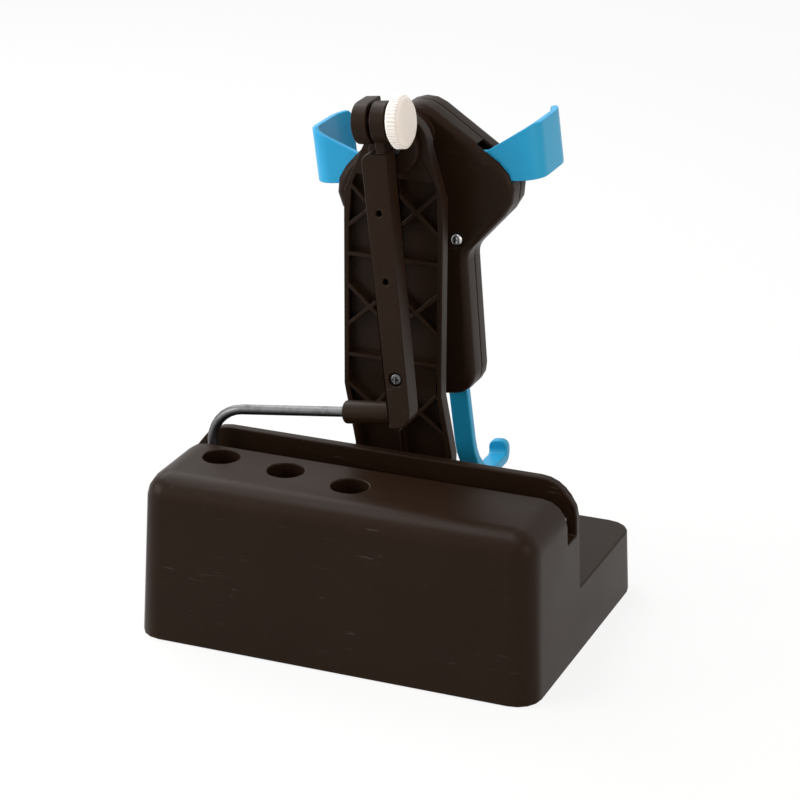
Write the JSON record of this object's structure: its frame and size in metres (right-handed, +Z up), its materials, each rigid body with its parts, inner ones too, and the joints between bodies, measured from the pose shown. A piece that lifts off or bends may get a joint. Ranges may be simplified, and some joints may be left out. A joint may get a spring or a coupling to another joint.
{
  "type": "swinging phone cradle",
  "caption": "Desk cradle with a weighted base, ribbed mast and hanging gravity clamp whose side jaws close as the foot sinks; a bent rod behind runs in the base's slot.",
  "frame": {"origin": "on the floor under the middle of the base, on the pad's underside", "axes": "+X along the base, +Y from the slot side towards the phone side, +Z up"},
  "size_m": [0.1644, 0.1338, 0.2131],
  "materials": {
    "black_plastic": "satin moulded",
    "blue_plastic": "semi-gloss moulded",
    "white_plastic": "matte moulded",
    "steel": "plain steel",
    "brass": "turned",
    "rubber": "matte sheet"
  },
  "bodies": {
    "base": {"base_shell": "black_plastic", "slot_pin": "steel", "bottom_plate": "black_plastic", "bottom_plate_screw_1": "steel", "bottom_plate_screw_2": "steel", "bottom_plate_screw_3": "steel", "bottom_plate_screw_4": "steel", "anti_slip_pad": "rubber", "ballast_weight": "steel", "mast": "black_plastic", "mast_screw_1": "steel", "mast_screw_2": "steel", "rear_bush": "brass", "front_bush": "brass"},
    "pendulum": {"hub_bracket": "black_plastic", "pivot_shaft": "steel", "shaft_nut": "steel", "hinge_bolt": "steel", "arm": "black_plastic", "arm_screw_1": "steel", "rod": "steel", "clamp_rear_cover": "black_plastic", "clamp_front_cover": "black_plastic", "clamp_screw_1": "steel", "clamp_screw_2": "steel", "spring_post": "steel", "return_spring": "steel"},
    "knob": {"knob": "white_plastic", "knob_insert": "brass"},
    "foot": {"foot": "blue_plastic", "foot_slider": "black_plastic", "foot_screw_1": "steel", "foot_screw_2": "steel", "drive_pin_left": "steel", "drive_pin_right": "steel"},
    "jaw_left": {"jaw_left": "blue_plastic"},
    "jaw_right": {"jaw_right": "blue_plastic"}
  },
  "joints": [
    {"name": "pendulum_swing", "type": "hinge", "parent": "base", "child": "pendulum", "pos_m": [0, 0, 0.19], "axis": [0, 1, 0], "range_deg": [-12.5, 27.5]},
    {"name": "knob_turn", "type": "hinge", "parent": "pendulum", "child": "knob", "pos_m": [-0.00157, -0.007, 0.2019], "axis": [0.9914, 0, 0.1305], "continuous": true},
    {"name": "foot_slide", "type": "slide", "parent": "pendulum", "child": "foot", "axis": [0.1305, 0, -0.9914], "range_m": [0, 0.006], "stiffness_N_per_m": 200, "springref_m": -0.003, "deforming": ["return_spring"]},
    {"name": "jaw_left_slide", "type": "slide", "parent": "pendulum", "child": "jaw_left", "axis": [0.9914, 0, 0.1305], "range_m": [0, 0.005]},
    {"name": "jaw_right_slide", "type": "slide", "parent": "pendulum", "child": "jaw_right", "axis": [-0.9914, 0, -0.1305], "range_m": [0, 0.005]}
  ],
  "couplings": [
    {"joint": "jaw_left_slide", "follows": "foot_slide", "ratio": 0.83333},
    {"joint": "jaw_right_slide", "follows": "foot_slide", "ratio": 0.83333}
  ]
}
